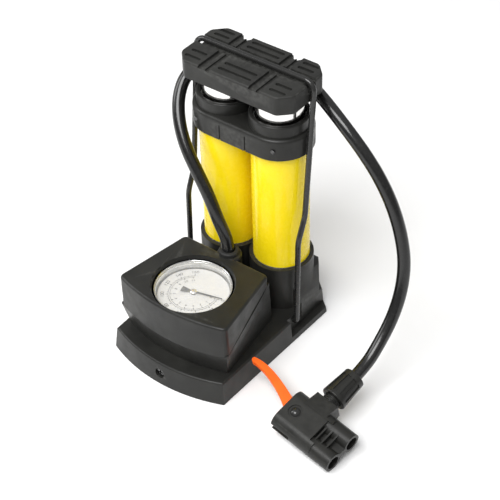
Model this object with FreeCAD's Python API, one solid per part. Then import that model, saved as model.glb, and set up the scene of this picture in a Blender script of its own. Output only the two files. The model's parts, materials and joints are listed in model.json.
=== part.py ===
import FreeCAD, Part
import math
import os

# Twin-barrel foot pump, standing upright and latched: two painted barrels in a moulded base,
# two bright piston tubes under a treaded pedal, a wire bail over the pedal, a pressure gauge in
# a wedge-shaped housing in front, and a hose to a twin valve head that lies beside the base.
# Millimetres. Origin on the floor, midway between the barrels. +X right, -Y front, +Z up.

V = FreeCAD.Vector
X_AXIS = V(1, 0, 0)
Y_AXIS = V(0, 1, 0)
Z_AXIS = V(0, 0, 1)

# ---- driving dimensions ---------------------------------------------------------------------
wall = 2.5                     # thickness of the moulded shells
gap = 0.15                     # joint line between mouldings

barrel_x = 20.9                # half distance between the barrel axes
barrel_r = 19.0
barrel_bore = 17.8
barrel_bottom = 20.0
barrel_top = 155.0

base_h = 17.0                  # height of the deck
lip_h = 4.0                    # low lip left along the bail recesses
recess_x = 43.3                # side wall behind the bail legs
recess_y = -25.0               # front end of the bail recesses
socket_r = 21.7
socket_top = 51.0
socket_floor = 19.0
inner_half = 40.8              # half width of the hollow under the deck
cover_plate = 3.0              # thickness of the bottom cover
foot_pad_r = 6.0
foot_pad_h = 1.2

housing_front = (44.5, -90.0, -97.5)    # half width, corner y and middle y of the gauge housing
housing_rear = (35.0, -33.0)            # half width and y of its rear edge
housing_top = 59.5
seam_front_z = 33.0
seam_rear_z = 52.5
pedestal_inset = 3.5           # how far the pedestal draws in at the deck

gauge_y = -68.0
gauge_case_r = 25.4
gauge_case_bottom = 43.0
dial_z = 51.0
dial_r = 23.6
lens_z = 56.0
needle_zero = 15.4             # heading of the pointer at no pressure
pinion_r = 2.4
sector_pivot = (0.0, 14.0)     # from the gauge centre

gland_y = -30.0
gland_r = 6.8
gland_top = 62.5
hose_r = 4.25

collar_bottom = 142.7
collar_top = 158.0
collar_r = 22.4
ring_r = 19.8
ring_top = 166.0
ring_bore = 17.2

tube_r = 15.8
tube_bore = 14.8
bush_gap = 0.06                # running clearance of the tube in its guide bush
piston_z = 40.0                # underside of the stored piston
piston_h = 12.0
piston_r = 17.5
spring_wire_r = 0.8
spring_mean_r = 13.6
spring_turns = 5
spring_corners = 8             # rounded corners that make one turn of the coil

pedal_bottom = 181.0
pedal_top = 194.0
pedal_half = 43.5
pedal_front = -23.5
pedal_rear = 22.0
pedal_corner = 8.0
bar_y = 2.5                    # line of the bail bar across the pedal
bar_z = 194.4

wire_r = 1.9
bail_half = 45.6
bail_pivot = (-17.0, 12.0)     # y and z
bail_bend = 7.0                # bend of the wire at the ends of the bar
pivot_bend = 2.5

head_centre = V(116.9, -90.6, 10.75)
head_yaw = -8.5                # heading of the ports from +X
head_roll = 15.2               # hose side lifted
head_pitch = 6.4               # lever end lifted
head_rear = -28.0              # along the head, from its centre
head_front = 19.0
head_r = 7.8                   # half thickness of the head
head_half = 7.2                # half distance between its rounded sides
port_half = 8.5                # half distance between the two ports
port_r = 6.5
port_bore = 4.6
lever_pin_s = -19.6
stub_s = -10.5                 # hose stub along the head
boss_half = 8.6                # half width of its wedge-shaped boss
lever_half = 2.3               # half thickness of the lever
lever_slot = 2.6
lever_swing = 80.0             # degrees from open to locked
cam_r = 6.0
cam_offset = 2.5
plunger_face = -12.4
plunger_back = -7.5
plunger_front = -2.4
schrader_bore = 3.9
presta_bore = 3.05
nut_start = 24.0
nut_length = 21.0


# ---- small helpers --------------------------------------------------------------------------
def box(x0, x1, y0, y1, z0, z1):
    return Part.makeBox(x1 - x0, y1 - y0, z1 - z0, V(x0, y0, z0))


def rod(r, start, end):
    span = end - start
    return Part.makeCylinder(r, span.Length, start, span)


def post(r, x, y, z0, z1):
    return Part.makeCylinder(r, z1 - z0, V(x, y, z0))


def pipe(r, bore, x, y, z0, z1):
    return post(r, x, y, z0, z1).cut(post(bore, x, y, z0 - 1, z1 + 1))


def cone(r0, r1, x, y, z0, z1):
    return Part.makeCone(r0, r1, z1 - z0, V(x, y, z0))


def fuse(shapes):
    return shapes[0].multiFuse(shapes[1:]).removeSplitter()


def polygon_prism(points, z0, z1):
    corners = [V(x, y, z0) for x, y in points]
    wire = Part.makePolygon(corners + corners[:1])
    return Part.Face(wire).extrude(V(0, 0, z1 - z0))


def mirrored(shape):
    return shape.mirror(V(0, 0, 0), X_AXIS)


def rounded(shape, radius, chosen):
    edges = [edge for edge in shape.Edges if chosen(edge)]
    return shape.makeFillet(radius, edges)


def upright(edge):
    box_ = edge.BoundBox
    return box_.ZLength > 2 and box_.XLength + box_.YLength < 0.6 * box_.ZLength


def at_height(z, tolerance=0.01):
    def chosen(edge):
        return abs(edge.BoundBox.ZMin - z) < tolerance and abs(edge.BoundBox.ZMax - z) < tolerance
    return chosen


def bowed_outline(front, rear, z):
    """Closed wire, symmetric about x = 0: a bowed front edge, then the rear corners in order."""
    half, corner_y, middle_y = front
    left = V(-half, corner_y, z)
    right = V(half, corner_y, z)
    bow = Part.Arc(left, V(0, middle_y, z), right).toShape()
    side = [right] + [V(x, y, z) for x, y in rear] + [V(-x, y, z) for x, y in reversed(rear)] + [left]
    runs = [Part.LineSegment(a, b).toShape() for a, b in zip(side, side[1:])]
    return Part.Wire([bow] + runs)


def bowed_prism(front, rear, z0, z1):
    return Part.Face(bowed_outline(front, rear, z0)).extrude(V(0, 0, z1 - z0))


def bowed_loft(front0, rear0, z0, front1, rear1, z1):
    return Part.makeLoft([bowed_outline(front0, rear0, z0), bowed_outline(front1, rear1, z1)], True, True)


def stadium(r, z0, z1):
    ends = [post(r, side * barrel_x, 0, z0, z1) for side in (-1, 1)]
    return fuse(ends + [box(-barrel_x, barrel_x, -r, r, z0, z1)])


def below_seam(offset):
    """Everything under the sloping joint plane of the gauge housing, shifted up by offset."""
    y_front = housing_front[2] - 30
    y_rear = housing_rear[1] + 60
    slope = (seam_rear_z - seam_front_z) / (housing_rear[1] - housing_front[2])
    z_front = seam_front_z + slope * (y_front - housing_front[2]) + offset
    z_rear = seam_front_z + slope * (y_rear - housing_front[2]) + offset
    side = [V(-90, y_front, -10), V(-90, y_rear, -10), V(-90, y_rear, z_rear), V(-90, y_front, z_front)]
    return Part.Face(Part.makePolygon(side + side[:1])).extrude(V(180, 0, 0))


# ---- base -----------------------------------------------------------------------------------
cover_screw_points = [(36, -88), (-36, -88), (36, 11), (-36, 11)]
foot_points = [(30, -72), (-30, -72), (28, 4), (-28, 4)]
housing_screw_points = [(33, -82), (-33, -82), (26, -40), (-26, -40)]
screw_r = 1.5
screw_head_r = 3.0
front_screw_z = 8.5


def housing_outline_prism(inset, z0, z1):
    half, corner_y, middle_y = housing_front
    rear_half, rear_y = housing_rear
    front = (half - inset, corner_y + inset, middle_y + inset)
    return bowed_prism(front, [(rear_half - inset, rear_y - inset)], z0, z1)


def pedestal(inset, z_low):
    """Tapered lower half of the gauge housing, drawn in towards the deck."""
    half, corner_y, middle_y = housing_front
    rear_half, rear_y = housing_rear
    draw = pedestal_inset + inset
    flare = 4.0 - inset
    low_front = (half - draw, corner_y + draw, middle_y + draw)
    high_front = (half + flare, corner_y - flare, middle_y - flare)
    block = bowed_loft(low_front, [(rear_half - 1 - inset, rear_y + 4 - inset)], z_low,
                       high_front, [(rear_half - inset, rear_y - inset)], seam_rear_z + 2)
    trimmed = block.common(below_seam(-gap))
    return trimmed.common(bowed_prism((half - inset, corner_y + inset, middle_y + inset),
                                      [(rear_half - inset, rear_y + 6)], z_low, housing_top))


def shoulder():
    """Sloping gusset outside the right barrel socket."""
    points = [(recess_x, 1), (recess_x, 23), (39, 36), (30, 36), (30, 1)]
    corners = [V(x, -12, z) for x, z in points]
    face = Part.Face(Part.makePolygon(corners + corners[:1]))
    return face.extrude(V(0, 36, 0))


def gland_boss():
    return post(gland_r + 1.7, 0, gland_y, base_h, housing_top)


def base_shell():
    skirt = bowed_loft((46.5, -98, -107.5), [(49.3, 13), (36, 24)], 0,
                       (44.9, -96.3, -105.7), [(47.3, 12.4), (35.2, 22.6)], base_h)
    skirt = rounded(skirt, 1.6, at_height(base_h))
    recess = box(recess_x, 60, recess_y, 40, lip_h, 70)
    footprint = bowed_prism((60, -98, -120), [(60, 4), (recess_x, 12.4), (35.2, 22.6)], 0, 70)
    gussets = [shoulder(), mirrored(shoulder())]
    gussets = [gusset.common(footprint) for gusset in gussets]
    sockets = [post(socket_r, side * barrel_x, 0, 10, socket_top) for side in (-1, 1)]
    boss = gland_boss().common(below_seam(-gap))
    solid = fuse([skirt.cut(recess).cut(mirrored(recess)), pedestal(0, base_h - 1), boss] + gussets + sockets)

    hollow = bowed_prism((inner_half, -94.5, -103), [(inner_half, 11), (33, 20)], -1, base_h - wall)
    solid = solid.cut(hollow).cut(pedestal(wall, base_h - wall - 0.01)).cut(post(gland_r - 0.9, 0, gland_y, 0, 60))
    floors = [post(socket_r - 1, side * barrel_x, 0, base_h - wall, socket_floor) for side in (-1, 1)]
    bosses = [post(3.6, x, y, cover_plate, base_h - 1) for x, y in cover_screw_points]
    pillars = [post(3.2, x, y, base_h - 1, 34) for x, y in housing_screw_points]
    inside = housing_outline_prism(1, 0, 60)
    pillars = [pillar.common(inside).common(below_seam(-1)) for pillar in pillars]
    pivots = [rod(5, V(side * 36, *bail_pivot), V(side * recess_x, *bail_pivot)) for side in (-1, 1)]
    front_boss = rod(5, V(0, -104.5, front_screw_z), V(0, -95, front_screw_z))
    solid = fuse([solid, front_boss] + floors + bosses + pillars + pivots)

    for side in (-1, 1):
        x = side * barrel_x
        solid = solid.cut(post(barrel_r + 0.05, x, 0, socket_floor, socket_top + 1))
        solid = solid.cut(post(4, x, 0, 0, 30))
        solid = solid.cut(rod(wire_r + 0.05, V(side * 37, *bail_pivot), V(side * 60, *bail_pivot)))
        slot_x = sorted((side * (recess_x - 0.8), side * 50))
        solid = solid.cut(box(slot_x[0], slot_x[1], -9.5, -8.3, 9, 21))
    for x, y in cover_screw_points:
        solid = solid.cut(post(screw_r, x, y, 0, 11))
    for x, y in housing_screw_points:
        solid = solid.cut(post(screw_r + 0.1, x, y, 0, 50))
    recess_hole = rod(3.6, V(0, -112, front_screw_z), V(0, -103.6, front_screw_z))
    return solid.cut(recess_hole).cut(rod(screw_r, V(0, -105, front_screw_z), V(0, -96, front_screw_z)))


def bottom_cover():
    inset = inner_half - 0.3
    plate = bowed_prism((inset, -94.2, -102.7), [(inset, 10.8), (32.8, 19.7)], 0, cover_plate)
    for x, y in cover_screw_points:
        plate = plate.cut(post(screw_head_r + 0.3, x, y, -1, 1.8)).cut(post(screw_r + 0.2, x, y, 0, 5))
    for x, y in foot_points:
        plate = plate.cut(post(foot_pad_r, x, y, -1, foot_pad_h))
    return plate


def rubber_feet():
    return [post(foot_pad_r, x, y, 0, foot_pad_h) for x, y in foot_points]


def screw_up(x, y, z_head, length):
    """Round-headed screw pointing up, its head resting at z_head, with a cross recess."""
    head = post(screw_head_r, x, y, z_head - 1.5, z_head)
    cross = [box(x - a, x + a, y - b, y + b, z_head - 2, z_head - 0.8) for a, b in ((2, 0.4), (0.4, 2))]
    return fuse([head, post(screw_r, x, y, z_head, z_head + length)]).cut(cross[0]).cut(cross[1])


def base_screws():
    return [screw_up(x, y, 1.8, 9) for x, y in cover_screw_points]


def front_screw():
    head = rod(screw_head_r, V(0, -105.4, front_screw_z), V(0, -103.6, front_screw_z))
    shank = rod(screw_r, V(0, -103.6, front_screw_z), V(0, -96.5, front_screw_z))
    cross = [box(-a, a, -106, -104.6, front_screw_z - b, front_screw_z + b) for a, b in ((2, 0.4), (0.4, 2))]
    return fuse([head, shank]).cut(cross[0]).cut(cross[1])


# ---- barrels and pistons, side = -1 left, +1 right ------------------------------------------
def barrel(side):
    return pipe(barrel_r, barrel_bore, side * barrel_x, 0, barrel_bottom, barrel_top)


def barrel_gasket(side):
    return pipe(barrel_r, 12, side * barrel_x, 0, socket_floor, barrel_bottom)


def barrel_plug(side):
    x = side * barrel_x
    plug = post(barrel_bore, x, 0, barrel_bottom, barrel_bottom + 5)
    for turn in range(4):
        angle = math.radians(90 * turn)
        plug = plug.cut(post(1, x + 3 * math.cos(angle), 3 * math.sin(angle), 0, 60))
    return plug


def check_valve(side):
    """Rubber flap disc over the four air holes."""
    x = side * barrel_x
    top = barrel_bottom + 5
    return fuse([post(5, x, 0, top, top + 1), cone(2.4, 1.2, x, 0, top + 1, top + 3)])


def guide_bush(side):
    x = side * barrel_x
    body = fuse([post(barrel_bore, x, 0, 146, barrel_top), post(ring_bore, x, 0, barrel_top, 161)])
    return body.cut(post(tube_r + bush_gap, x, 0, 140, 170))


def piston_tube(side):
    x = side * barrel_x
    shell = pipe(tube_r, tube_bore, x, 0, piston_z + 4, pedal_bottom + 3)
    cap = post(tube_r, x, 0, pedal_bottom + 3, pedal_bottom + 5)
    return fuse([shell, cap]).cut(post(3, x, 0, 100, 200))


def piston(side):
    x = side * barrel_x
    disc = post(piston_r, x, 0, piston_z, piston_z + 4)
    land = pipe(piston_r, tube_r, x, 0, piston_z + 9, piston_z + piston_h)
    core = pipe(16.4, tube_r, x, 0, piston_z + 4, piston_z + 9)
    spigot = pipe(tube_bore, 11, x, 0, piston_z + 4, piston_z + piston_h)
    return fuse([disc, core, land, spigot])


def piston_seal(side):
    x = side * barrel_x
    return pipe(barrel_bore - 0.04, 16.4, x, 0, piston_z + 4.4, piston_z + 8.6)


def return_spring(side):
    """Compression spring under the piston, closed up in the stored position."""
    low = barrel_bottom + 5 + spring_wire_r + 0.1
    high = piston_z - spring_wire_r - 0.1
    count = spring_turns * spring_corners
    points = []
    for i in range(count + 1):
        angle = 2 * math.pi * i / spring_corners
        x = side * barrel_x + spring_mean_r * math.cos(angle)
        points.append(V(x, spring_mean_r * math.sin(angle), low + (high - low) * i / count))
    half_turn = math.pi / spring_corners
    radius = 0.9 * spring_mean_r * math.cos(half_turn)
    path = rounded_path(points, [radius] * (count - 1))
    return swept_round(path, spring_wire_r, points[0], points[1] - points[0])


def barrel_collar():
    skirt = stadium(collar_r, collar_bottom, collar_top)
    skirt = rounded(skirt, 2.5, at_height(collar_top))
    rings = [rounded(post(ring_r, side * barrel_x, 0, collar_top - 1, ring_top), 1.2, at_height(ring_top))
             for side in (-1, 1)]
    collar = fuse([skirt] + rings)
    for side in (-1, 1):
        x = side * barrel_x
        collar = collar.cut(post(barrel_r + 0.03, x, 0, 140, barrel_top))
        collar = collar.cut(post(ring_bore, x, 0, 150, 170))
        groove_x = side * 10
        collar = collar.cut(box(groove_x - 0.5, groove_x + 0.5, -30, -collar_r + 0.6, 140, collar_top - 4))
        collar = collar.cut(rod(1.6, V(side * 30.5, -30, 150), V(side * 30.5, -19.6, 150)))
    return collar


def collar_pins():
    return [rod(1.5, V(side * 30.5, -20.9, 150), V(side * 30.5, -19.6, 150)) for side in (-1, 1)]


# ---- air way --------------------------------------------------------------------------------
def air_manifold():
    cross = box(-27, 27, -6, 6, 5, 14)
    spine = box(-6, 6, gauge_y - 6, 0, 5, 14)
    risers = [post(3.9, side * barrel_x, 0, 14, socket_floor) for side in (-1, 1)]
    body = fuse([cross, spine] + risers)
    body = body.cut(box(-24, 24, -2.5, 2.5, 7.5, 12)).cut(box(-2.5, 2.5, gauge_y - 2, 0, 7.5, 12))
    for x, y in ((-barrel_x, 0), (barrel_x, 0), (0, gland_y), (0, gauge_y)):
        body = body.cut(post(2, x, y, 8, 30))
    return body


def hose_barb():
    body = fuse([post(4.5, 0, gland_y, 14, 20), post(3, 0, gland_y, 20, 48), post(4, 0, gland_y, 48, 50)])
    return body.cut(post(1.5, 0, gland_y, 10, 60))


def gauge_stem():
    body = fuse([post(5, 0, gauge_y, 14, 18), post(3.5, 0, gauge_y, 18, gauge_case_bottom)])
    return body.cut(post(1.5, 0, gauge_y, 10, 60))


# ---- gauge ----------------------------------------------------------------------------------
def gauge_cover():
    body = housing_outline_prism(0, 20, housing_top)
    body = rounded(body, 4, upright)
    body = fuse([body, gland_boss()])
    body = rounded(body, 2.0, at_height(housing_top))
    inner = housing_outline_prism(wall, 10, housing_top - wall)
    body = body.cut(inner).cut(below_seam(0))
    recess = cone(26.3, 27.9, 0, gauge_y, housing_top - 3.6, housing_top + 0.01)
    throat = post(26.0, 0, gauge_y, 40, housing_top)
    pillars = [post(3.2, x, y, 30, housing_top - 1) for x, y in housing_screw_points]
    pillars = [pillar.cut(below_seam(1)).common(housing_outline_prism(1, 0, 70)) for pillar in pillars]
    body = fuse([body] + pillars).cut(throat).cut(recess)
    body = body.cut(post(gland_r - 0.9, 0, gland_y, 40, 70))
    for x, y in housing_screw_points:
        body = body.cut(post(screw_r, x, y, 20, housing_top - 8))
    return body


def housing_screws():
    return [screw_up(x, y, base_h - 1, 28) for x, y in housing_screw_points]


def gauge_case():
    outer = post(gauge_case_r, 0, gauge_y, gauge_case_bottom, lens_z - 2)
    return outer.cut(post(gauge_case_r - 1, 0, gauge_y, gauge_case_bottom + 1.2, lens_z)) \
        .cut(post(2, 0, gauge_y, 40, 46))


def gauge_dial():
    return pipe(dial_r, 2, 0, gauge_y, dial_z - 0.6, dial_z)


def gauge_bezel():
    ring = fuse([pipe(25.9, 24.4, 0, gauge_y, lens_z - 2, lens_z - 0.6),
                 pipe(25.9, 25.0, 0, gauge_y, lens_z - 0.6, lens_z + 0.8)])
    return ring


def gauge_lens():
    return post(24.9, 0, gauge_y, lens_z - 0.6, lens_z + 0.4)


def gauge_spindle():
    return fuse([post(0.9, 0, gauge_y, gauge_case_bottom + 2, dial_z + 2.4),
                 post(pinion_r, 0, gauge_y, gauge_case_bottom + 3.4, gauge_case_bottom + 4.6)])


def gauge_needle():
    """Thin pointer with a wide tail, drawn along +X and turned to the zero mark."""
    points = [(20.5, 0.2), (2, 0.7), (-4, 0.9), (-8.5, 2.4), (-8.5, -2.4), (-4, -0.9), (2, -0.7), (20.5, -0.2)]
    blade = polygon_prism(points, dial_z + 1.2, dial_z + 1.7)
    hub = post(2.2, 0, 0, dial_z + 1.0, dial_z + 2.4)
    needle = fuse([blade, hub]).cut(post(0.9, 0, 0, dial_z, dial_z + 5))
    needle.rotate(V(0, 0, 0), Z_AXIS, needle_zero)
    needle.translate(V(0, gauge_y, 0))
    return needle


def gauge_sector():
    """Toothed quadrant of the movement, turning against the spindle's pinion."""
    px, py = sector_pivot
    z = gauge_case_bottom + 3.4
    reach = py - pinion_r - 0.2
    swing = [math.radians(angle) for angle in (240, 273)]
    corners = [(px + 20 * math.cos(angle), gauge_y + py + 20 * math.sin(angle)) for angle in swing]
    arm = polygon_prism([(px, gauge_y + py)] + corners, z, z + 1.2)
    arm = arm.common(post(reach, px, gauge_y + py, z, z + 1.2))
    return fuse([post(2, px, gauge_y + py, z, z + 1.2), arm]).cut(post(1, px, gauge_y + py, z - 1, z + 3))


def gauge_frame():
    """Movement plate with the pivot post of the quadrant and the spindle bearing."""
    z = gauge_case_bottom + 1.2
    px, py = sector_pivot
    plate = box(-6, 6, gauge_y - 5, gauge_y + 18, z, z + 1.2)
    plate = fuse([plate, post(0.95, px, gauge_y + py, z + 1, z + 4)])
    return plate.cut(post(0.97, 0, gauge_y, z - 1, z + 3))


def bourdon_tube():
    """Flattened C-shaped pressure tube around the movement."""
    centre = V(0, gauge_y, 0)
    mid_z = gauge_case_bottom + 4.2
    section = Part.Face(Part.Wire(Part.makePolygon([V(20, 0, mid_z - 2), V(21.4, 0, mid_z - 2),
                                                    V(21.4, 0, mid_z + 2), V(20, 0, mid_z + 2),
                                                    V(20, 0, mid_z - 2)])))
    tube = section.revolve(V(0, 0, 0), Z_AXIS, 250)
    tube.rotate(V(0, 0, 0), Z_AXIS, -80)
    tube.translate(centre)
    return tube


# ---- pedal ----------------------------------------------------------------------------------
bar_channel_half = 5.0
bar_channel_depth = 2.2
cross_x = 19.5
cross_half = 4.6
groove_half = 1.3
groove_depth = 1.6


def slot(x0, x1, y):
    """Round-ended tread groove along X."""
    low = pedal_top - groove_depth
    ends = [post(groove_half, x, y, low, pedal_top + 1) for x in (x0 + groove_half, x1 - groove_half)]
    return fuse(ends + [box(x0 + groove_half, x1 - groove_half, y - groove_half, y + groove_half,
                            low, pedal_top + 1)])


def pedal_outline():
    c = pedal_corner
    f, r, h = pedal_front, pedal_rear, pedal_half
    return [(-h, f + c), (-h + c, f), (h - c, f), (h, f + c), (h, r - c), (h - c, r), (-h + c, r), (-h, r - c)]


def pedal():
    block = polygon_prism(pedal_outline(), pedal_bottom, pedal_top)
    block = rounded(block, 5, upright)
    block = rounded(block, 1.6, at_height(pedal_top))
    low = pedal_top - bar_channel_depth
    block = block.cut(box(-60, 60, bar_y - bar_channel_half, bar_y + bar_channel_half, low, pedal_top + 1))
    for side in (-1, 1):
        bar_end = sorted((side * (pedal_half - 4), side * 60))
        block = block.cut(box(bar_end[0], bar_end[1], bar_y - 4, bar_y + 4, pedal_top - 6, pedal_top + 1))
        x = side * cross_x
        cut = box(x - cross_half, x + cross_half, -60, 60, pedal_top - 1.8, pedal_top + 1)
        rib = box(x - 1.2, x + 1.2, -60, 60, pedal_top - 1.8, pedal_top - 0.6)
        notch = [(x - cross_half, pedal_rear + 1), (x, pedal_rear - 5), (x + cross_half, pedal_rear + 1)]
        block = block.cut(cut.cut(rib)).cut(polygon_prism(notch, pedal_top - 7, pedal_top + 1))
        seat = post(tube_r, side * barrel_x, 0, pedal_bottom - 1, pedal_bottom + 5)
        block = block.cut(seat).cut(post(2, side * barrel_x, 0, pedal_bottom, pedal_bottom + 10))
    for y in (-17.5, -11.0, 11.5, 17.0):
        block = block.cut(slot(-12.5, 12.5, y))
        for side in (-1, 1):
            ends = sorted((side * 26.5, side * 38.5))
            block = block.cut(slot(ends[0], ends[1], y))
    return block


def pedal_bolts():
    bolts = []
    for side in (-1, 1):
        x = side * barrel_x
        head = post(5, x, 0, pedal_bottom - 1.5, pedal_bottom + 3)
        bolts.append(fuse([head, post(2, x, 0, pedal_bottom + 3, pedal_bottom + 9)]))
    return bolts


# ---- wire forms -----------------------------------------------------------------------------
def rounded_path(points, radii):
    """Straight runs joined by tangent arcs; one radius for each inner point."""
    edges = []
    here = points[0]
    for before, corner, after, radius in zip(points, points[1:], points[2:], radii):
        into = (corner - before).normalize()
        out = (after - corner).normalize()
        turn = into.getAngle(out)
        setback = radius * math.tan(turn / 2)
        start = corner - into * setback
        end = corner + out * setback
        inward = (out - into).normalize()
        middle = corner + inward * (radius / math.cos(turn / 2) - radius)
        edges.append(Part.LineSegment(here, start).toShape())
        edges.append(Part.Arc(start, middle, end).toShape())
        here = end
    edges.append(Part.LineSegment(here, points[-1]).toShape())
    return Part.Wire(edges)


def swept_round(path, radius, start, along):
    section = Part.Wire(Part.makeCircle(radius, start, along))
    return path.makePipeShell([section], True, False)


def bail():
    """One wire: pivot ends turned inwards, legs with a set-back, and the bar over the pedal."""
    pivot_y, pivot_z = bail_pivot
    leg = [(bail_half, pivot_y, pivot_z), (bail_half, -15.0, 80), (bail_half, -7.5, 97),
           (bail_half, bar_y - 0.3, bar_z)]
    right = [V(38, pivot_y, pivot_z)] + [V(*p) for p in leg]
    left = [V(-p.x, p.y, p.z) for p in reversed(right)]
    points = right + left
    radii = [pivot_bend, 22, 22, bail_bend, bail_bend, 22, 22, pivot_bend]
    path = rounded_path(points, radii)
    return swept_round(path, wire_r, points[0], X_AXIS)


# ---- valve head, modelled along its own axes then laid on the floor --------------------------
# Head axes: s from the lever end to the ports, t towards the hose, n out of the upper face.
def head_placement():
    place = FreeCAD.Placement(head_centre, FreeCAD.Rotation(Z_AXIS, head_yaw))
    place = place.multiply(FreeCAD.Placement(V(0, 0, 0), FreeCAD.Rotation(X_AXIS, head_roll)))
    return place.multiply(FreeCAD.Placement(V(0, 0, 0), FreeCAD.Rotation(Y_AXIS, head_pitch)))


def laid(shape):
    shape.Placement = head_placement().multiply(shape.Placement)
    return shape


def head_block(r, half, s0, s1):
    ends = [rod(r, V(s0, side * half, 0), V(s1, side * half, 0)) for side in (-1, 1)]
    return fuse(ends + [box(s0, s1, -half, half, -r, r)])


def stub_boss():
    """Wedge on the side of the head that carries the hose stub."""
    profile = [(8, -7.6), (12, -7.6), (20, -5.6), (20, 5.6), (12, 7.6), (8, 7.6)]
    corners = [V(stub_s - boss_half, t, n) for t, n in profile]
    return Part.Face(Part.makePolygon(corners + corners[:1])).extrude(V(2 * boss_half, 0, 0))


def head_body():
    block = head_block(head_r, head_half, head_rear, 4)
    ports = [rod(port_r, V(0, side * port_half, 0), V(head_front, side * port_half, 0)) for side in (-1, 1)]
    web = box(0, head_front, -port_half, port_half, -2.2, 2.2)
    for side in (-1, 1):
        saddle = box(0.4, 5, -port_half, port_half, *sorted((side * 2.2, side * 9)))
        block = block.cut(saddle)
    fins = [box(s, s + 1.1, -port_half, port_half, -6.0, 6.0) for s in (1.6, 6.0, 10.4)]
    body = fuse([block, web, stub_boss()] + ports + fins)
    for side in (-1, 1):
        y = side * port_half
        body = body.cut(rod(port_bore, V(9, y, 0), V(head_front + 1, y, 0)))
        body = body.cut(rod(port_r - 1, V(-1, y, 0), V(9, y, 0)))
    chamber = box(plunger_back - 0.3, 0, -12.5, 12.5, -4.2, 4.2)
    cam_room = box(head_rear - 1, plunger_back, -9.4, 9.4, -lever_slot, lever_slot)
    side_slot = box(head_rear - 1, -13, -20, 0, -lever_slot, lever_slot)
    body = body.cut(chamber).cut(cam_room).cut(side_slot)
    body = body.cut(rod(1.6, V(stub_s, 16, 0), V(-4, 11, 0)))
    body = body.cut(rod(4.6, V(stub_s, 30, 0), V(stub_s, 15, 0)))
    body = body.cut(rod(2.0, V(lever_pin_s, 0, -10), V(lever_pin_s, 0, 10)))
    for side in (-1, 1):
        recess = rod(4.8, V(lever_pin_s, 0, side * (head_r - 0.8)), V(lever_pin_s, 0, side * (head_r + 2)))
        body = body.cut(recess)
    return body


def lever_pin():
    shank = rod(2.0, V(lever_pin_s, 0, -head_r + 0.8), V(lever_pin_s, 0, head_r - 0.8))
    dome = Part.makeSphere(4.2, V(lever_pin_s, 0, head_r - 3.2))
    dome = dome.common(rod(3.2, V(lever_pin_s, 0, head_r - 0.8), V(lever_pin_s, 0, head_r + 2)))
    foot = rod(3.2, V(lever_pin_s, 0, -head_r + 0.8), V(lever_pin_s, 0, -head_r + 0.2))
    return fuse([shank, dome, foot])


def head_lever():
    """Curved, tapering blade with an eccentric hub around the pin."""
    root = V(lever_pin_s, 0, 0)
    low = V(0, 0, -lever_half)
    angle = math.radians(-lever_swing)
    cam = root + V(cam_offset * math.cos(angle), cam_offset * math.sin(angle), 0)
    hub = rod(cam_r, cam + low, cam - low)
    near = [V(-20.5, -6.2, 0), V(-28.5, -1.6, 0), V(-36, 2.6, 0), V(-48, 7.3, 0), V(-58, 9.9, 0),
            V(-68.2, 10.6, 0)]
    far = [V(-69, 13.9, 0), V(-62, 14.8, 0), V(-48, 13.2, 0), V(-35, 9.5, 0), V(-18.5, 4.6, 0)]
    near_edge = Part.BSplineCurve()
    near_edge.interpolate([p + low for p in near])
    far_edge = Part.BSplineCurve()
    far_edge.interpolate([p + low for p in far])
    tip = Part.Arc(near[-1] + low, V(-69.8, 12.1, 0) + low, far[0] + low).toShape()
    close = Part.LineSegment(far[-1] + low, near[0] + low).toShape()
    outline = Part.Wire([near_edge.toShape(), tip, far_edge.toShape(), close])
    blade = Part.Face(outline).extrude(V(0, 0, 2 * lever_half))
    return fuse([hub, blade]).cut(rod(2.05, root + low * 2, root - low * 2))


def head_plunger():
    """Slide that the lever's cam pushes against the two rubber grommets."""
    return fuse([box(plunger_face, plunger_back, -3.6, 3.6, -lever_half, lever_half),
                 box(plunger_back, plunger_front, -12, 12, -3.8, 3.8)])


def port_grommet(side, bore):
    y = side * port_half
    return rod(port_r - 1.1, V(0, y, 0), V(8.8, y, 0)).cut(rod(bore, V(-1, y, 0), V(10, y, 0)))


def head_barb():
    """Threaded hose stub of the head, with its collar."""
    seat = rod(4.6, V(stub_s, 15.2, 0), V(stub_s, 22, 0))
    neck = rod(5.2, V(stub_s, 20, 0), V(stub_s, nut_start + 8, 0))
    threads = [rod(6.0, V(stub_s, t, 0), V(stub_s, t + 0.6, 0)) for t in (20.4, 21.6, 22.8)]
    tail = rod(hose_r, V(stub_s, nut_start + 8, 0), V(stub_s, nut_start + 14, 0))
    body = fuse([seat, neck, tail] + threads)
    return body.cut(rod(1.6, V(stub_s, 10, 0), V(stub_s, 50, 0)))


def head_nut():
    """Fluted, tapering union nut over the hose end."""
    shell = Part.makeCone(9.0, 7.4, nut_length, V(stub_s, nut_start, 0), Y_AXIS)
    shell = rounded(shell, 0.8, lambda edge: edge.Length > 20)
    profile = [V(-1.5, 3, 7.8), V(-1.5, 17, 6.7), V(-1.5, 17, 12), V(-1.5, 3, 12)]
    flute = Part.Face(Part.makePolygon(profile + profile[:1])).extrude(V(3, 0, 0))
    flute.translate(V(stub_s, nut_start, 0))
    for turn in range(10):
        shell = shell.cut(flute.rotated(V(stub_s, 0, 0), Y_AXIS, 36 * turn))
    shell = shell.cut(rod(6.1, V(stub_s, nut_start - 1, 0), V(stub_s, nut_start + 8, 0)))
    return shell.cut(rod(hose_r + 0.05, V(stub_s, nut_start, 0), V(stub_s, nut_start + nut_length + 1, 0)))


def head_point(s, t, n):
    return head_placement().multVec(V(s, t, n))


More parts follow.
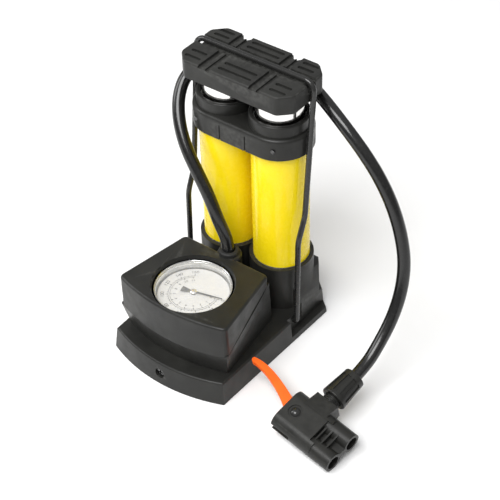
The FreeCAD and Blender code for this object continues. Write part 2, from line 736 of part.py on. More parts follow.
# ---- hose -----------------------------------------------------------------------------------
# Route from the housing, up and round behind the piston tubes under the pedal, and down in an
# open arch to the valve head. Each point is a corner that an arc rounds off.
hose_start = (0, gland_y, 50)
hose_middle = [
    (0, gland_y, 68), (-5.9, -32.3, 85), (-13.2, -31.7, 101.6), (-23.2, -30.5, 116.5), (-34.4, -27.5, 129.6),
    (-44.2, -21.3, 141.6), (-51.4, -12.7, 152.6), (-53.9, -2.3, 162.3), (-49.7, 8.9, 169.2), (-39.8, 18.4, 173),
    (-26.5, 25.2, 174.3), (-11.4, 28.7, 174.6), (4.4, 28.5, 174.9), (20, 25.1, 175.4), (35, 19.2, 175),
    (49.9, 13.2, 171.8), (64.5, 9.4, 164.5), (78.3, 8.4, 153.2), (90.4, 8.8, 138.5), (100.3, 9.1, 121.3),
    (108, 8.3, 102.6), (113.6, 5.6, 83.7), (116, -0.4, 65.4), (116.2, -9.9, 49.2), (115.1, -22.3, 36),
]
gland_length = 12.5


def hose_route():
    last = head_point(stub_s, nut_start + 14, 0)
    turn_in = head_point(stub_s, nut_start + 31, 0)
    return [V(*hose_start)] + [V(*p) for p in hose_middle] + [turn_in, last]


def hose():
    points = hose_route()
    radii = []
    for before, corner, after in zip(points, points[1:], points[2:]):
        run_in = corner - before
        run_out = after - corner
        turn = run_in.getAngle(run_out)
        radii.append(0.45 * min(run_in.Length, run_out.Length) / math.tan(turn / 2))
    path = rounded_path(points, radii)
    tube = swept_round(path, hose_r, points[0], points[1] - points[0])
    runs = [(b - a).Length for a, b in zip(points, points[1:])]
    print("hose radii", [round(r, 1) for r in radii])
    print("hose runs", [round(run, 1) for run in runs])
    print("hose length %.1f, volume / section %.1f" % (path.Length, tube.Volume / (math.pi * hose_r ** 2)))
    return tube


def hose_gland():
    """Rubber grommet in the rear of the gauge cover."""
    top = fuse([post(gland_r, 0, gland_y, housing_top, gland_top - 1),
                cone(gland_r, gland_r - 1, 0, gland_y, gland_top - 1, gland_top)])
    body = fuse([top, post(gland_r - 0.95, 0, gland_y, gland_top - gland_length, housing_top)])
    return body.cut(post(hose_r + 0.05, 0, gland_y, 40, 70))


# ---- write the nodes ------------------------------------------------------------------------
def sided(name, make):
    return {"left_" + name: make(-1), "right_" + name: make(1)}


def build():
    nodes = {
        "base_shell": base_shell(),
        "bottom_cover": bottom_cover(),
        "rubber_feet": rubber_feet(),
        "base_screws": base_screws(),
        "front_screw": front_screw(),
        "barrel_collar": barrel_collar(),
        "collar_pins": collar_pins(),
        "air_manifold": air_manifold(),
        "hose_barb": hose_barb(),
        "gauge_stem": gauge_stem(),
        "gauge_cover": gauge_cover(),
        "housing_screws": housing_screws(),
        "gauge_case": gauge_case(),
        "gauge_dial": gauge_dial(),
        "gauge_bezel": gauge_bezel(),
        "gauge_lens": gauge_lens(),
        "gauge_spindle": gauge_spindle(),
        "gauge_needle": gauge_needle(),
        "gauge_sector": gauge_sector(),
        "gauge_frame": gauge_frame(),
        "bourdon_tube": bourdon_tube(),
        "pedal": pedal(),
        "pedal_bolts": pedal_bolts(),
        "bail": bail(),
        "hose": hose(),
        "hose_gland": hose_gland(),
        "head_body": laid(head_body()),
        "lever_pin": laid(lever_pin()),
        "head_lever": laid(head_lever()),
        "head_plunger": laid(head_plunger()),
        "schrader_grommet": laid(port_grommet(1, schrader_bore)),
        "presta_grommet": laid(port_grommet(-1, presta_bore)),
        "head_barb": laid(head_barb()),
        "head_nut": laid(head_nut()),
    }
    nodes.update(sided("barrel", barrel))
    nodes.update(sided("barrel_gasket", barrel_gasket))
    nodes.update(sided("barrel_plug", barrel_plug))
    nodes.update(sided("check_valve", check_valve))
    nodes.update(sided("guide_bush", guide_bush))
    nodes.update(sided("piston_tube", piston_tube))
    nodes.update(sided("piston", piston))
    nodes.update(sided("piston_seal", piston_seal))
    nodes.update(sided("return_spring", return_spring))
    return nodes


os.makedirs("parts", exist_ok=True)
for name, shape in build().items():
    solids = shape if isinstance(shape, list) else shape.Solids
    part = solids[0] if len(solids) == 1 else Part.makeCompound(solids)
    part.exportStep("parts/" + name + ".step")
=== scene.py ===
import json
import math

import bmesh
import bpy
from mathutils import Matrix, Vector


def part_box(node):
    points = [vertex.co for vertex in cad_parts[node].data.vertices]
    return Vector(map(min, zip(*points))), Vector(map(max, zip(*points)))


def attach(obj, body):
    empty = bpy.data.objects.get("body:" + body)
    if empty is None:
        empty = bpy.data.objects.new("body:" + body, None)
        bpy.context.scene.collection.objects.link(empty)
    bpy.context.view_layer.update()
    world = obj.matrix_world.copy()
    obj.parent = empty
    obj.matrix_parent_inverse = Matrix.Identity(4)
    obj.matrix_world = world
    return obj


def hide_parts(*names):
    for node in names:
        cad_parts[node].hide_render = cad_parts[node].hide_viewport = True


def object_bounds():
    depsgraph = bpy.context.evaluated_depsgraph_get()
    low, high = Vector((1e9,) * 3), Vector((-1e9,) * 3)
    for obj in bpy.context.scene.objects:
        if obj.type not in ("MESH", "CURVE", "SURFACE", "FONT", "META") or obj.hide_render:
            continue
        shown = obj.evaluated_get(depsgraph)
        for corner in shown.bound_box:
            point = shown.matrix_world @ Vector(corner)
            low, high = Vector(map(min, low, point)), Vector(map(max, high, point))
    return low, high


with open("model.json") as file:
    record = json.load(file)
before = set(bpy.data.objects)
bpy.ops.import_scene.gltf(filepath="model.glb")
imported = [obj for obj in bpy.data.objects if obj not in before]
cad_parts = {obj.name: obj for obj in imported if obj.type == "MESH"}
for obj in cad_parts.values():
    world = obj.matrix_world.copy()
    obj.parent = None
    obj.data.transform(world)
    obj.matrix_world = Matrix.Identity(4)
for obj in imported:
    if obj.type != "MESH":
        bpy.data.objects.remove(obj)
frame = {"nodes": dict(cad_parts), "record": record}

# Twin-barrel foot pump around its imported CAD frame. Metres, +X right, -Y front, +Z up.
# The hose is a free curve, and the outer mouldings are the CAD shapes with rounded edges.
# The gauge's print, pointer and bezel are built here. Every other CAD node keeps its own
# shape and gets a material.

cad_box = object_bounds()
nodes = frame["nodes"]
slots = {row["node"]: row["material_slot"] for row in frame["record"]["subparts"]}
body_of = {}
for body, members in frame["record"]["behaviour"]["bodies"].items():
    for member in members:
        body_of[member] = body

mm = 0.001
scene = bpy.context.scene


# ---- camera ---------------------------------------------------------------------------------
CAMERA_PLACE = (0.4676, -0.5929, 0.6956)
CAMERA_AZIMUTH = 38.63      # degrees from the front towards the right
CAMERA_ELEVATION = 40.95    # degrees above the floor
CAMERA_ROLL = -1.82         # degrees, the photographer's slight tilt
CAMERA_LENS = 105.45        # focal length in mm, on a sensor 36 mm wide


def make_camera():
    """Long lens, above and to the right of the front."""
    azimuth = math.radians(CAMERA_AZIMUTH)
    elevation = math.radians(CAMERA_ELEVATION)
    roll = math.radians(CAMERA_ROLL)
    back = Vector((math.sin(azimuth) * math.cos(elevation),
                   -math.cos(azimuth) * math.cos(elevation), math.sin(elevation)))
    right = Vector((math.cos(azimuth), math.sin(azimuth), 0))
    up = back.cross(right)
    turned_right = right * math.cos(roll) + up * math.sin(roll)
    turned_up = up * math.cos(roll) - right * math.sin(roll)
    camera = bpy.data.objects.new("camera", bpy.data.cameras.new("camera"))
    camera.data.lens = CAMERA_LENS
    camera.data.sensor_width = 36
    camera.data.clip_start = 0.05
    camera.data.clip_end = 20
    turn = Matrix((turned_right, turned_up, back)).transposed().to_4x4()
    camera.matrix_world = Matrix.Translation(CAMERA_PLACE) @ turn
    scene.collection.objects.link(camera)
    scene.camera = camera


# ---- small helpers --------------------------------------------------------------------------
def put(name, data, body=None, finish=None):
    """Links an object, and lets it ride on a body with the finish of its slot."""
    piece = bpy.data.objects.new(name, data)
    scene.collection.objects.link(piece)
    if finish is not None:
        data.materials.clear()
        data.materials.append(finish)
    if body is not None:
        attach(piece, body)
    return piece


def mesh_from(work, name, smooth_angle=35):
    """Finished mesh of a bmesh, smooth except at edges sharper than the angle."""
    bmesh.ops.recalc_face_normals(work, faces=work.faces)
    mesh = bpy.data.meshes.new(name)
    work.to_mesh(mesh)
    work.free()
    mesh.shade_smooth()
    mesh.set_sharp_from_angle(angle=math.radians(smooth_angle))
    return mesh


def turned(profile, steps):
    """Solid turned about Z from a closed outline of (radius, height) points.

    A point at radius 0 becomes a single vertex on the axis.
    """
    work = bmesh.new()
    rings = []
    for radius, height in profile:
        if radius < 1e-7:
            rings.append([work.verts.new((0, 0, height))])
            continue
        ring = []
        for i in range(steps):
            angle = 2 * math.pi * i / steps
            ring.append(work.verts.new((radius * math.cos(angle), radius * math.sin(angle), height)))
        rings.append(ring)
    for low, high in zip(rings, rings[1:] + rings[:1]):
        if len(low) == 1 and len(high) == 1:
            continue
        for i in range(steps):
            j = (i + 1) % steps
            corners = [low[i % len(low)], low[j % len(low)], high[j % len(high)], high[i % len(high)]]
            work.faces.new(list(dict.fromkeys(corners)))
    return work


def middle(node):
    """Centre of a CAD node's box at rest."""
    low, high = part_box(node)
    return (low + high) / 2


# ---- materials ------------------------------------------------------------------------------
def start_material(name):
    made = bpy.data.materials.new(name)
    made.use_nodes = True
    return made, made.node_tree, made.node_tree.nodes["Principled BSDF"]


def grain(tree, scale, detail, stretch=(1, 1, 1)):
    """Noise over the object's own coordinates; scale is in features per millimetre.

    A stretch below 1 draws the features out along that axis.
    """
    place = tree.nodes.new("ShaderNodeTexCoord")
    mapping = tree.nodes.new("ShaderNodeMapping")
    mapping.inputs["Scale"].default_value = [s / mm for s in stretch]
    texture = tree.nodes.new("ShaderNodeTexNoise")
    texture.inputs["Scale"].default_value = scale
    texture.inputs["Detail"].default_value = detail
    tree.links.new(place.outputs["Object"], mapping.inputs["Vector"])
    tree.links.new(mapping.outputs["Vector"], texture.inputs["Vector"])
    return texture.outputs["Fac"]


def between(tree, fac, low, high, start=0.35, end=0.65):
    """A number that runs from low to high as fac runs from start to end."""
    node = tree.nodes.new("ShaderNodeMapRange")
    node.inputs["From Min"].default_value = start
    node.inputs["From Max"].default_value = end
    node.inputs["To Min"].default_value = low
    node.inputs["To Max"].default_value = high
    tree.links.new(fac, node.inputs["Value"])
    return node.outputs["Result"]


def mixed(tree, fac, colour_a, colour_b):
    """Colour between two, each a triple or a socket."""
    node = tree.nodes.new("ShaderNodeMix")
    node.data_type = "RGBA"
    tree.links.new(fac, node.inputs["Factor"])
    for name, colour in (("A", colour_a), ("B", colour_b)):
        socket = [s for s in node.inputs if s.name == name and s.type == "RGBA"][0]
        if isinstance(colour, tuple):
            socket.default_value = (*colour, 1)
        else:
            tree.links.new(colour, socket)
    return [s for s in node.outputs if s.type == "RGBA"][0]


def times(tree, a, b):
    """Product of two sockets."""
    node = tree.nodes.new("ShaderNodeMath")
    node.operation = "MULTIPLY"
    tree.links.new(a, node.inputs[0])
    tree.links.new(b, node.inputs[1])
    return node.outputs[0]


def worn_edges(tree, strength):
    """Where edges stand proud, broken up by noise."""
    geometry = tree.nodes.new("ShaderNodeNewGeometry")
    edge = between(tree, geometry.outputs["Pointiness"], 0, strength, start=0.53, end=0.62)
    patches = between(tree, grain(tree, 0.35, 4), 0.15, 1, start=0.4, end=0.62)
    return times(tree, edge, patches)


def bump(tree, shader, height, depth):
    """Surface relief of the given depth in millimetres."""
    node = tree.nodes.new("ShaderNodeBump")
    node.inputs["Strength"].default_value = 1.0
    node.inputs["Distance"].default_value = depth * mm
    tree.links.new(height, node.inputs["Height"])
    tree.links.new(node.outputs["Normal"], shader.inputs["Normal"])


MOULD_TEXTURE = 3.5     # spark-eroded texture, in features per millimetre
PEEL_DEPTH = 0.0006     # mm, orange peel of the paint
MARK_DEPTH = 0.004      # mm, working marks in bare metal
MARK_SPREAD = 0.06      # how much rougher than the rest a mark is at its bottom


def moulded(name, dark, light, rough, texture_depth, wear=0.35):
    """Satin moulded plastic or rubber: slightly uneven colour, fine texture, rubbed edges."""
    made, tree, shader = start_material(name)
    cloud = between(tree, grain(tree, 0.05, 5), 0, 1)
    base = mixed(tree, cloud, dark, light)
    rubbed = tuple(min(1.0, 3.2 * c + 0.02) for c in light)
    tree.links.new(mixed(tree, worn_edges(tree, wear), base, rubbed), shader.inputs["Base Color"])
    tree.links.new(between(tree, grain(tree, 0.16, 4), rough - 0.06, rough + 0.07),
                   shader.inputs["Roughness"])
    shader.inputs["Specular IOR Level"].default_value = 0.28
    bump(tree, shader, grain(tree, MOULD_TEXTURE, 2), texture_depth)
    return made


def painted(name, colour, shade, rough, coat, bare_below=None):
    """Sprayed gloss paint with faint orange peel.

    Below the height bare_below, in millimetres above the floor, the metal is bare.
    """
    made, tree, shader = start_material(name)
    drift = between(tree, grain(tree, 0.03, 4), 0, 1)
    paint = mixed(tree, drift, colour, shade)
    if bare_below is not None:
        place = tree.nodes.new("ShaderNodeTexCoord")
        split = tree.nodes.new("ShaderNodeSeparateXYZ")
        tree.links.new(place.outputs["Object"], split.inputs[0])
        bare = between(tree, split.outputs["Z"], 1, 0,
                       start=(bare_below - 0.1) * mm, end=bare_below * mm)
        paint = mixed(tree, bare, paint, mixed(tree, drift, (0.9, 0.89, 0.85), (0.8, 0.79, 0.76)))
        tree.links.new(bare, shader.inputs["Metallic"])
    tree.links.new(paint, shader.inputs["Base Color"])
    tree.links.new(between(tree, grain(tree, 0.3, 3), rough - 0.03, rough + 0.04),
                   shader.inputs["Roughness"])
    shader.inputs["Specular IOR Level"].default_value = 0.22
    shader.inputs["Coat Weight"].default_value = coat
    shader.inputs["Coat Roughness"].default_value = 0.06
    bump(tree, shader, grain(tree, 0.35, 2), PEEL_DEPTH)
    return made


def metal(name, light, dark, rough, stretch, scale):
    """Bare metal with its working marks, drawn out along an axis where it was drawn or turned."""
    made, tree, shader = start_material(name)
    marks = grain(tree, scale, 4, stretch)
    tree.links.new(mixed(tree, between(tree, marks, 0, 1), dark, light), shader.inputs["Base Color"])
    tree.links.new(between(tree, marks, rough + MARK_SPREAD, rough - MARK_SPREAD / 2),
                   shader.inputs["Roughness"])
    shader.inputs["Metallic"].default_value = 1.0
    bump(tree, shader, marks, MARK_DEPTH)
    return made


def hose_rubber(name):
    """Glossy black PVC hose with faint extrusion marks and dust."""
    made, tree, shader = start_material(name)
    dust = between(tree, grain(tree, 0.6, 5), 0, 1, start=0.5, end=0.75)
    tree.links.new(mixed(tree, dust, (0.007, 0.007, 0.007), (0.016, 0.016, 0.015)),
                   shader.inputs["Base Color"])
    tree.links.new(between(tree, grain(tree, 0.3, 4), 0.17, 0.23), shader.inputs["Roughness"])
    bump(tree, shader, grain(tree, 0.5, 2), 0.002)
    return made


def lever_plastic(name):
    """Bright orange acetal, a little translucent at its edges."""
    made, tree, shader = start_material(name)
    cloud = between(tree, grain(tree, 0.12, 4), 0, 1)
    tree.links.new(mixed(tree, cloud, (1.0, 0.135, 0.005), (0.96, 0.12, 0.004)),
                   shader.inputs["Base Color"])
    tree.links.new(between(tree, grain(tree, 0.4, 3), 0.42, 0.5), shader.inputs["Roughness"])
    shader.inputs["Specular IOR Level"].default_value = 0.3
    shader.inputs["Subsurface Weight"].default_value = 0.06
    shader.inputs["Subsurface Radius"].default_value = (0.002, 0.0006, 0.0002)
    shader.inputs["Subsurface Scale"].default_value = 1.0
    bump(tree, shader, grain(tree, 2.5, 2), 0.01)
    return made


def dial_paint(name):
    """Silvery white dial paint with a fine fleck."""
    made, tree, shader = start_material(name)
    fleck = between(tree, grain(tree, 6, 2), 0, 1)
    tree.links.new(mixed(tree, fleck, (0.56, 0.55, 0.535), (0.64, 0.63, 0.61)),
                   shader.inputs["Base Color"])
    tree.links.new(between(tree, grain(tree, 0.8, 3), 0.36, 0.48), shader.inputs["Roughness"])
    shader.inputs["Specular IOR Level"].default_value = 0.3
    return made


def lens_glass(name):
    """Clear thin window: mostly see-through, with a faint film that catches the light."""
    made, tree, shader = start_material(name)
    film = grain(tree, 0.12, 4)
    tree.links.new(between(tree, film, 0.02, 0.06), shader.inputs["Roughness"])
    tree.links.new(mixed(tree, film, (0.93, 0.95, 0.95), (1.0, 1.0, 1.0)), shader.inputs["Base Color"])
    tree.links.new(between(tree, film, 0.06, 0.12), shader.inputs["Alpha"])
    return made


BARE_RIM = 51.7         # mm, top of the bare metal above the underside of the base shell
PAINT_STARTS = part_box("base_shell")[0].z / mm + BARE_RIM

# How far a metal's working marks are drawn out: less than 1 along an axis is longer marks.
EVEN = (1, 1, 1)
DRAWN = (1, 1, 0.04)
MACHINED = (1, 1, 0.2)

# Each slot of the record has a finish here; dark_steel and tail_grey are extra.
FINISHES = {
    "moulded_black": moulded("moulded_black", (0.014, 0.014, 0.0128), (0.021, 0.021, 0.019),
                             rough=0.36, texture_depth=0.008),
    "pedal_black": moulded("pedal_black", (0.016, 0.016, 0.015), (0.024, 0.024, 0.022),
                           rough=0.5, texture_depth=0.015),
    "yellow_paint": painted("yellow_paint", (0.93, 0.72, 0.008), (0.91, 0.69, 0.007),
                            rough=0.26, coat=0.25, bare_below=PAINT_STARTS),
    "polished_steel": metal("polished_steel", (0.93, 0.92, 0.9), (0.8, 0.79, 0.77),
                            rough=0.1, stretch=DRAWN, scale=1.2),
    "black_wire": painted("black_wire", (0.012, 0.012, 0.012), (0.018, 0.018, 0.017),
                          rough=0.28, coat=0.5),
    "hose_rubber": hose_rubber("hose_rubber"),
    "grommet_rubber": moulded("grommet_rubber", (0.014, 0.014, 0.014), (0.022, 0.022, 0.021),
                              rough=0.55, texture_depth=0.02, wear=0.1),
    "lever_orange": lever_plastic("lever_orange"),
    "dial_white": dial_paint("dial_white"),
    "needle_black": moulded("needle_black", (0.012, 0.012, 0.012), (0.02, 0.02, 0.02),
                            rough=0.4, texture_depth=0.002, wear=0.1),
    "lens_clear": lens_glass("lens_clear"),
    "bezel_clear": metal("bezel_clear", (0.86, 0.86, 0.85), (0.76, 0.76, 0.75),
                         rough=0.22, stretch=EVEN, scale=2.0),
    "zinc_steel": metal("zinc_steel", (0.66, 0.66, 0.65), (0.5, 0.5, 0.5),
                        rough=0.28, stretch=EVEN, scale=0.8),
    "spring_steel": metal("spring_steel", (0.5, 0.5, 0.51), (0.36, 0.36, 0.37),
                          rough=0.35, stretch=EVEN, scale=1.5),
    "brass": metal("brass", (0.8, 0.62, 0.28), (0.66, 0.48, 0.2),
                   rough=0.26, stretch=MACHINED, scale=1.5),
    "dark_steel": metal("dark_steel", (0.16, 0.16, 0.16), (0.06, 0.06, 0.06),
                        rough=0.2, stretch=EVEN, scale=0.8),
    "tail_grey": metal("tail_grey", (0.2, 0.2, 0.19), (0.13, 0.13, 0.125),
                       rough=0.45, stretch=EVEN, scale=2.0),
    "white_acetal": moulded("white_acetal", (0.76, 0.76, 0.74), (0.82, 0.82, 0.8),
                            rough=0.35, texture_depth=0.004, wear=0.0),
}


# ---- hose -----------------------------------------------------------------------------------
HOSE_D = 8.5            # mm across

# The route of part.py in millimetres, from the barb in the gland to the stub in the nut.
# A program fitted its middle to the hose in the photograph, and the last two points of that
# middle were then moved. The list's own last two points follow from the valve head.
HOSE_ROUTE = [
    (0, -30, 50), (0, -30, 68), (-5.9, -32.3, 85), (-13.2, -31.7, 101.6), (-23.2, -30.5, 116.5),
    (-34.4, -27.5, 129.6), (-44.2, -21.3, 141.6), (-51.4, -12.7, 152.6), (-53.9, -2.3, 162.3),
    (-49.7, 8.9, 169.2), (-39.8, 18.4, 173), (-26.5, 25.2, 174.3), (-11.4, 28.7, 174.6),
    (4.4, 28.5, 174.9), (20, 25.1, 175.4), (35, 19.2, 175), (49.9, 13.2, 171.8), (64.5, 9.4, 164.5),
    (78.3, 8.4, 153.2), (90.4, 8.8, 138.5), (100.3, 9.1, 121.3), (108, 8.3, 102.6), (113.6, 5.6, 83.7),
    (116, -0.4, 65.4), (116.2, -9.9, 49.2), (115.1, -22.3, 36), (114.38, -36.868, 26.3),
    (111.955, -53.093, 21.843),
]


def make_hose():
    """Hose as one smooth curve, and the point where it leaves the gland."""
    curve = bpy.data.curves.new("hose_line", "CURVE")
    curve.dimensions = "3D"
    curve.resolution_u = 10
    curve.bevel_depth = HOSE_D / 2 * mm
    curve.bevel_resolution = 7
    curve.use_fill_caps = True
    spline = curve.splines.new("NURBS")
    spline.points.add(len(HOSE_ROUTE) - 1)
    for point, place in zip(spline.points, HOSE_ROUTE):
        point.co = (*(c * mm for c in place), 1)
    spline.order_u = 3
    spline.use_endpoint_u = True
    piece = put("hose_tube", curve, "base", FINISHES["hose_rubber"])
    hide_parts("hose")
    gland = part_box("hose_gland")
    leaves = ((gland[0].x + gland[1].x) / 2, (gland[0].y + gland[1].y) / 2, gland[1].z)
    return piece, leaves


make_camera()
hose, hose_exit = make_hose()


# ---- mouldings with rounded edges -----------------------------------------------------------
WELD = 2e-6             # metres, closer vertices are one
FLAT_ANGLE = 0.4        # degrees, faces that meet at less become one face
CREASE_ANGLE = 45       # degrees, edges that meet at more are rounded
ROUNDING_STEPS = 2


def moulding(node, width):
    """The CAD shape with whole flat faces and its sharp edges rounded by width millimetres."""
    work = bmesh.new()
    work.from_mesh(nodes[node].data)
    bmesh.ops.remove_doubles(work, verts=work.verts, dist=WELD)
    bmesh.ops.dissolve_limit(work, angle_limit=math.radians(FLAT_ANGLE), verts=work.verts,
                             edges=work.edges)
    sharp = [e for e in work.edges
             if len(e.link_faces) == 2 and e.calc_face_angle(0) > math.radians(CREASE_ANGLE)]
    bmesh.ops.bevel(work, geom=sharp, offset=width * mm, offset_type="OFFSET",
                    segments=ROUNDING_STEPS, profile=0.5, affect="EDGES", clamp_overlap=True)
    piece = put(node + "_moulding", mesh_from(work, node + "_moulding"), body_of[node],
                FINISHES[slots[node]])
    even = piece.modifiers.new("even_normals", "WEIGHTED_NORMAL")
    even.keep_sharp = True
    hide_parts(node)
    return piece


# Width of the rounding on each moulding, in millimetres.
ROUNDED = {
    "base_shell": 0.35, "gauge_cover": 0.5, "barrel_collar": 0.3, "pedal": 0.3,
    "head_body": 0.3, "head_lever": 0.4, "head_nut": 0.15, "head_barb": 0.15,
    "hose_gland": 0.3, "head_plunger": 0.3,
}
mouldings = {node: moulding(node, width) for node, width in ROUNDED.items()}


# ---- gauge ----------------------------------------------------------------------------------
DIAL_ZERO = 15.4        # heading of the zero mark in degrees
DIAL_SWEEP = 250.0      # degrees of the scale, clockwise; the pointer can go a little past it
INK = 0.03 * mm         # thickness of the print
INK_GAP = 0.01 * mm     # between the dial and the print, so that the two faces do not fight
ARC_STEPS = 120

OUTER_FIGURES = 9       # 0, 20, 40 ... 160
OUTER_FIGURE_STEP = 20
MARKS_PER_FIGURE = 4
OUTER_MARKS = (OUTER_FIGURES - 1) * MARKS_PER_FIGURE
INNER_FIGURES = 12      # 0, 1, 2 ... 11
INNER_FULL = 11.2       # reading of the inner scale at the end of the sweep

# Radii and heights on the dial as shares of its own radius.
INNER_ARC = (0.65, 0.66)
OUTER_ARC = (0.70, 0.71)
SHORT_MARK_END = 0.74
LONG_MARK_END = 0.77
INNER_MARK_START = 0.60
OUTER_FIGURE_RADIUS = 0.86
OUTER_FIGURE_HEIGHT = 0.15
INNER_FIGURE_RADIUS = 0.52
INNER_FIGURE_HEIGHT = 0.11

# Half the width of each mark.
SHORT_MARK_HALF = 0.1 * mm
LONG_MARK_HALF = 0.2 * mm
INNER_MARK_HALF = 0.18 * mm

dial_low, dial_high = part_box("gauge_dial")
dial_centre = Vector((middle("gauge_dial").x, middle("gauge_dial").y, dial_high.z))
dial_r = (dial_high.x - dial_low.x) / 2


def slab(work, outline, low, high):
    """Flat solid between two heights from an outline of (x, y) points."""
    base = [work.verts.new((x, y, low)) for x, y in outline]
    top = [work.verts.new((x, y, high)) for x, y in outline]
    work.faces.new(base)
    work.faces.new(top)
    for i in range(len(outline)):
        j = (i + 1) % len(outline)
        work.faces.new((base[i], base[j], top[j], top[i]))


def arc_band(work, inner, outer):
    """Thin ring line along the sweep of the scale."""
    turns = [math.radians(DIAL_ZERO - DIAL_SWEEP * i / ARC_STEPS) for i in range(ARC_STEPS + 1)]
    outline = [(inner * math.cos(a), inner * math.sin(a)) for a in turns]
    outline += [(outer * math.cos(a), outer * math.sin(a)) for a in reversed(turns)]
    slab(work, outline, 0, INK)


def tick(work, share, inner, outer, half):
    """Radial mark at a share of the sweep."""
    turn = Matrix.Rotation(math.radians(DIAL_ZERO - DIAL_SWEEP * share), 2)
    outline = [turn @ Vector(p) for p in ((inner, -half), (outer, -half), (outer, half), (inner, half))]
    slab(work, outline, 0, INK)


def number(work, value, share, radius, size):
    """Printed figure, its top towards the rim."""
    text = bpy.data.curves.new("figure", "FONT")
    text.body = str(value)
    text.size = size
    text.extrude = INK / 2
    text.align_x = "CENTER"
    text.align_y = "CENTER"
    holder = bpy.data.objects.new("figure", text)
    mesh = bpy.data.meshes.new_from_object(holder)
    heading = math.radians(DIAL_ZERO - DIAL_SWEEP * share)
    turn = Matrix.Rotation(heading - math.pi / 2, 4, "Z")
    mesh.transform(turn @ Matrix.Translation((0, radius, INK / 2)))
    work.from_mesh(mesh)
    bpy.data.meshes.remove(mesh)
    bpy.data.objects.remove(holder)
    bpy.data.curves.remove(text)


def dial_print():
    """Two scales printed on the dial: 0 to 160 outside, 0 to 11 inside."""
    work = bmesh.new()
    for inner, outer in (INNER_ARC, OUTER_ARC):
        arc_band(work, inner * dial_r, outer * dial_r)
    for i in range(OUTER_MARKS + 1):
        end, half = SHORT_MARK_END, SHORT_MARK_HALF
        if i % MARKS_PER_FIGURE == 0:
            end, half = LONG_MARK_END, LONG_MARK_HALF
        tick(work, i / OUTER_MARKS, OUTER_ARC[1] * dial_r, end * dial_r, half)
    for i in range(OUTER_FIGURES):
        number(work, OUTER_FIGURE_STEP * i, i / (OUTER_FIGURES - 1),
               OUTER_FIGURE_RADIUS * dial_r, OUTER_FIGURE_HEIGHT * dial_r)
    for i in range(INNER_FIGURES):
        share = i / INNER_FULL
        tick(work, share, INNER_MARK_START * dial_r, INNER_ARC[0] * dial_r, INNER_MARK_HALF)
        number(work, i, share, INNER_FIGURE_RADIUS * dial_r, INNER_FIGURE_HEIGHT * dial_r)
    mesh = mesh_from(work, "dial_print")
    mesh.transform(Matrix.Translation(dial_centre + Vector((0, 0, INK_GAP))))
    put("dial_print", mesh, "base", FINISHES["needle_black"])


def pointer():
    """Thin black pointer, wide grey tail and a bright hub with a dimple."""
    low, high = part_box("gauge_needle")
    blade_low = low.z + 0.2 * mm
    blade_high = blade_low + 0.45 * mm
    at_hub = Matrix.Translation((dial_centre.x, dial_centre.y, 0))
    heading = at_hub @ Matrix.Rotation(math.radians(DIAL_ZERO), 4, "Z")

    work = bmesh.new()
    blade = [(2, -0.55), (20.3, -0.22), (20.3, 0.22), (2, 0.55)]
    slab(work, [(x * mm, y * mm) for x, y in blade], blade_low, blade_high)
    mesh = mesh_from(work, "pointer")
    mesh.transform(heading)
    piece = put("pointer", mesh, "needle", FINISHES["needle_black"])
    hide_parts("gauge_needle")

    work = bmesh.new()
    tail = [(-1.2, 0.6), (-8.3, 2.35), (-8.45, 0), (-8.3, -2.35), (-1.2, -0.6)]
    slab(work, [(x * mm, y * mm) for x, y in tail], blade_low, blade_high)
    mesh = mesh_from(work, "pointer_tail")
    mesh.transform(heading)
    put("pointer_tail", mesh, "needle", FINISHES["tail_grey"])

    top = high.z
    profile = [(0.9, low.z), (2.15, low.z), (2.2, low.z + 0.2 * mm), (2.15, top - 0.5 * mm),
               (1.7, top - 0.15 * mm), (1.1, top), (0.75, top - 0.1 * mm), (0.62, top - 0.6 * mm),
               (0.0, top - 0.7 * mm), (0.0, low.z + 0.3 * mm), (0.9, low.z + 0.3 * mm)]
    mesh = mesh_from(turned([(r * mm, z) for r, z in profile], 48), "pointer_hub")
    mesh.transform(at_hub)
    put("pointer_hub", mesh, "needle", FINISHES["polished_steel"])


def bezel():
    """Clear rim with two bright beads, over the wall of the case."""
    low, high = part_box("gauge_bezel")
    outer = (high.x - low.x) / 2
    rise = high.z - low.z
    # Millimetres in from the outer edge, and shares of the rise.
    profile = [(1.5, 0), (0, 0), (0, 0.78), (0.12, 0.93), (0.32, 1), (0.52, 0.94), (0.62, 0.8),
               (0.72, 0.58), (0.86, 0.52), (1.0, 0.6), (1.16, 0.66), (1.34, 0.6), (1.45, 0.45),
               (1.5, 0.3)]
    points = [(outer - inset * mm, low.z + share * rise) for inset, share in profile]
    mesh = mesh_from(turned(points, 128), "bezel_ring", 60)
    mesh.transform(Matrix.Translation((dial_centre.x, dial_centre.y, 0)))
    piece = put("bezel_ring", mesh, "base", FINISHES["bezel_clear"])
    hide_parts("gauge_bezel")


dial_print()
pointer()
bezel()


# ---- carried-over CAD nodes -----------------------------------------------------------------
# Nodes that look different from the rest of their slot.
SHADED = {"front_screw": "dark_steel", "collar_pins": "dark_steel", "lever_pin": "black_wire"}


def dress(node):
    """Gives a CAD node's object the finish of its slot, or its own."""
    mesh = nodes[node].data
    mesh.materials.clear()
    mesh.materials.append(FINISHES[SHADED.get(node, slots[node])])


for node in nodes:
    dress(node)


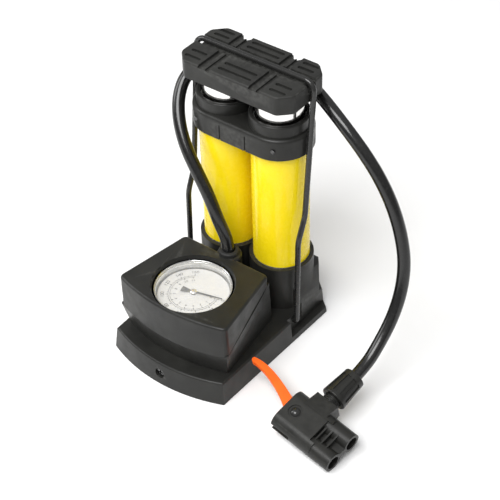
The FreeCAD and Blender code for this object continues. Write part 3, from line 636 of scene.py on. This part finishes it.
# ---- floor and light ------------------------------------------------------------------------
FLOOR_HALF = 3.0        # metres
FLOOR_DROP = 0.0003     # metres below the feet, so that the two faces do not fight


def make_floor():
    """Plain pale sheet under the pump."""
    made, tree, shader = start_material("floor_paper")
    cloud = between(tree, grain(tree, 0.02, 3), 0, 1)
    tree.links.new(mixed(tree, cloud, (0.9, 0.9, 0.9), (0.92, 0.92, 0.92)),
                   shader.inputs["Base Color"])
    shader.inputs["Roughness"].default_value = 0.9
    shader.inputs["Specular IOR Level"].default_value = 0.1
    work = bmesh.new()
    corners = [work.verts.new((x * FLOOR_HALF, y * FLOOR_HALF, -FLOOR_DROP))
               for x, y in ((-1, -1), (1, -1), (1, 1), (-1, 1))]
    work.faces.new(corners)
    mesh = bpy.data.meshes.new("floor")
    work.to_mesh(mesh)
    work.free()
    put("floor", mesh, finish=made)


def soft_box(name, place, aim, size, power):
    """Rectangular lamp that faces a point; size in metres, power in watts."""
    light = bpy.data.lights.new(name, "AREA")
    light.shape = "RECTANGLE"
    light.size, light.size_y = size
    light.energy = power
    holder = bpy.data.objects.new(name, light)
    scene.collection.objects.link(holder)
    holder.location = place
    holder.rotation_mode = "QUATERNION"
    holder.rotation_quaternion = (Vector(aim) - Vector(place)).to_track_quat("-Z", "Y")


def make_world():
    """Soft white surround, brighter overhead than at the horizon."""
    world = bpy.data.worlds.new("studio")
    world.use_nodes = True
    tree = world.node_tree
    place = tree.nodes.new("ShaderNodeTexCoord")
    split = tree.nodes.new("ShaderNodeSeparateXYZ")
    tree.links.new(place.outputs["Generated"], split.inputs[0])
    sky = tree.nodes["Background"]
    sky.inputs["Color"].default_value = (1.0, 1.0, 1.0, 1)
    tree.links.new(between(tree, split.outputs["Z"], 0.2, 0.66, start=-0.1, end=0.8),
                   sky.inputs["Strength"])
    scene.world = world


make_floor()
make_world()
centre = (cad_box[0] + cad_box[1]) / 2
soft_box("key", place=(0.1, -0.75, 1.25), aim=centre, size=(0.9, 0.7), power=19)
soft_box("fill_left", place=(-1.0, -0.5, 0.75), aim=centre, size=(0.45, 0.9), power=6)
scene.view_settings.view_transform = "Standard"
